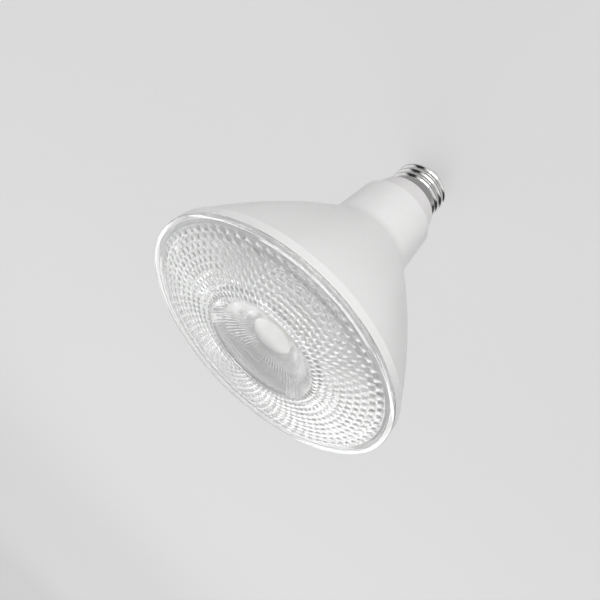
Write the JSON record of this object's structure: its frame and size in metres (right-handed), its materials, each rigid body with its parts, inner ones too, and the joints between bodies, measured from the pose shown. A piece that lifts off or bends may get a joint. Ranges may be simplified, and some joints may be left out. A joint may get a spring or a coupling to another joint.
{
  "type": "led flood bulb",
  "caption": "Wide reflector-shaped LED flood bulb: white cone with a neck, clear lens of staggered pillows with a dished centre, and a plated screw base.",
  "frame": {"origin": "centre of the outer face of the centre contact", "axes": "+Z along the lamp's axis from the contact to the lens; the driver board stands in the X and Z plane"},
  "size_m": [0.1206, 0.1206, 0.1292],
  "materials": {
    "housing_white": "fine satin moulding",
    "lens_clear": "clear, moulded pillows",
    "gasket_pale": "matte",
    "reflector_white": "white, glossy",
    "heat_sink_metal": "spun, plain",
    "pad_grey": "matte",
    "board_white": "white mask",
    "carrier_white": "ceramic white",
    "dam_white": "satin",
    "phosphor_yellow": "satin gel",
    "screw_steel": "plated",
    "wire_red": "satin",
    "wire_black": "satin",
    "wire_white": "satin",
    "driver_green": "solder mask",
    "capacitor_black": "sleeve",
    "film_yellow": "moulded case",
    "ferrite_grey": "matte ferrite",
    "winding_tape": "tape",
    "choke_black": "ferrite with sleeve",
    "chip_black": "moulded",
    "fuse_grey": "cement coat",
    "surge_blue": "dipped coat",
    "shell_plated": "bright plate",
    "insulator_dark": "black glass",
    "contact_tinned": "tinned"
  },
  "bodies": {
    "root": {"housing": "housing_white", "base_collar": "housing_white", "lens_cover": "lens_clear", "lens_gasket": "gasket_pale", "reflector": "reflector_white", "heat_sink": "heat_sink_metal", "thermal_pad": "pad_grey", "led_board": "board_white", "led_carrier": "carrier_white", "led_dam": "dam_white", "led_phosphor": "phosphor_yellow", "led_board_screws": "screw_steel", "led_lead_positive": "wire_red", "led_lead_negative": "wire_black", "driver_board": "driver_green", "bulk_capacitor": "capacitor_black", "film_capacitor": "film_yellow", "transformer_core": "ferrite_grey", "transformer_winding": "winding_tape", "input_choke": "choke_black", "bridge_rectifier": "chip_black", "control_chip": "chip_black", "power_transistor": "chip_black", "output_diode": "chip_black", "fuse_resistor": "fuse_grey", "surge_disc": "surge_blue", "live_lead": "wire_black", "neutral_lead": "wire_white", "screw_shell": "shell_plated", "base_insulator": "insulator_dark", "centre_contact": "contact_tinned"}
  },
  "joints": []
}
